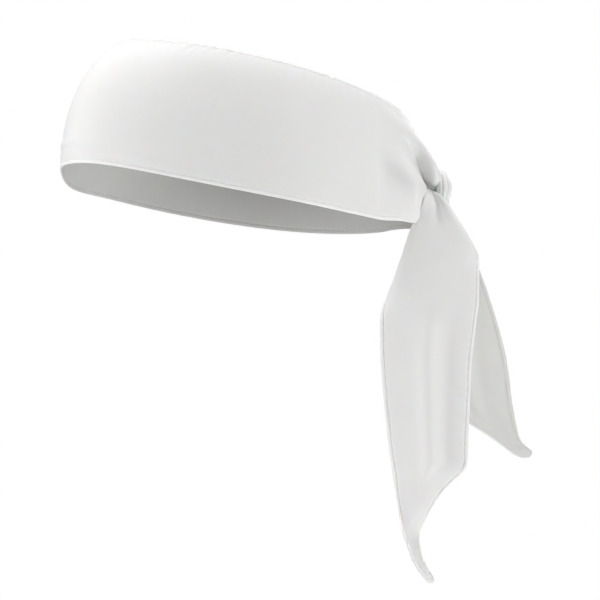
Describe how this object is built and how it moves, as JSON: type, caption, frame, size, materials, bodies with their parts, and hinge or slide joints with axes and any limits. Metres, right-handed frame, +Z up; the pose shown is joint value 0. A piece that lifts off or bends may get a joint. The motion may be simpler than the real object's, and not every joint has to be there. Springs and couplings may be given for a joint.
{
  "type": "sports headband",
  "caption": "Wide white knit tie-back headband, knotted at the back, with pointed tails hanging from the knot.",
  "frame": {"origin": "on the vertical axis of the head opening, level with the lower edge of the band at the forehead", "axes": "-X towards the forehead, +X towards the knot, -Y the wearer's left, +Z up"},
  "size_m": [0.2634, 0.1589, 0.3009],
  "materials": {
    "outer_knit": "white polyester interlock knit, matt",
    "lining_knit": "white polyester knit lining, matt",
    "turned_edge": "white knit turned over the seam, rounded",
    "stitch_thread": "white polyester sewing thread"
  },
  "bodies": {
    "band": {"band_outer_ply": "outer_knit", "band_inner_ply": "lining_knit", "band_lower_turned_edge": "turned_edge", "band_lower_topstitch": "stitch_thread", "band_upper_turned_edge": "turned_edge", "band_upper_topstitch": "stitch_thread", "left_end_gather": "outer_knit", "right_end_gather": "outer_knit", "left_knot_strand": "outer_knit", "right_knot_strand": "outer_knit"},
    "left_neck": {"left_tail_neck": "outer_knit"},
    "left_tail": {"left_tail_outer_ply": "outer_knit", "left_tail_inner_ply": "lining_knit", "left_tail_front_turned_edge": "turned_edge", "left_tail_front_topstitch": "stitch_thread", "left_tail_back_turned_edge": "turned_edge", "left_tail_back_topstitch": "stitch_thread"},
    "right_neck": {"right_tail_neck": "outer_knit"},
    "right_tail": {"right_tail_outer_ply": "outer_knit", "right_tail_inner_ply": "lining_knit", "right_tail_front_turned_edge": "turned_edge", "right_tail_front_topstitch": "stitch_thread", "right_tail_back_turned_edge": "turned_edge", "right_tail_back_topstitch": "stitch_thread"}
  },
  "joints": [
    {"name": "left_tail_sway", "type": "hinge", "parent": "band", "child": "left_neck", "pos_m": [0.1072, -0.0206, -0.0142], "axis": [-1, 0, 0], "range_deg": [-2, 60]},
    {"name": "left_tail_swing", "type": "hinge", "parent": "left_neck", "child": "left_tail", "pos_m": [0.1072, -0.0206, -0.0142], "axis": [0, -1, 0], "range_deg": [-5, 75]},
    {"name": "right_tail_sway", "type": "hinge", "parent": "band", "child": "right_neck", "pos_m": [0.1128, 0.0206, -0.0142], "axis": [1, 0, 0], "range_deg": [-2, 60]},
    {"name": "right_tail_swing", "type": "hinge", "parent": "right_neck", "child": "right_tail", "pos_m": [0.1128, 0.0206, -0.0142], "axis": [0, -1, 0], "range_deg": [-5, 75]}
  ]
}
